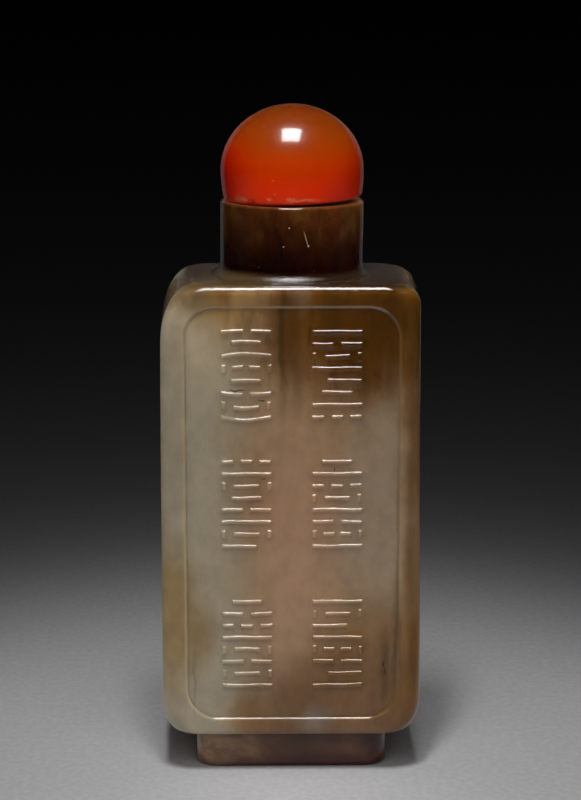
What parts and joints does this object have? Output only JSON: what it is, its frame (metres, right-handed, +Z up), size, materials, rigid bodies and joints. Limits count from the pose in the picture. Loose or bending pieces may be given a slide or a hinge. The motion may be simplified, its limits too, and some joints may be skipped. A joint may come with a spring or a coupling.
{
  "type": "snuff bottle",
  "caption": "Small upright carved stone bottle with a flat rectangular hollow body, sunken face panels, a round neck and a domed stopper resting on the rim.",
  "frame": {"origin": "middle of the outline, on the underside of the foot", "axes": "+Z up along the bottle, -Y out of the front face with the shallow strokes, +X to the right when facing the front"},
  "size_m": [0.027, 0.0188, 0.0696],
  "materials": {
    "carved_stone": "polished, translucent, mottled cream to brown",
    "stopper_stone": "polished, translucent, orange-red"
  },
  "bodies": {
    "root": {"bottle": "carved_stone", "stopper": "stopper_stone"}
  },
  "joints": []
}
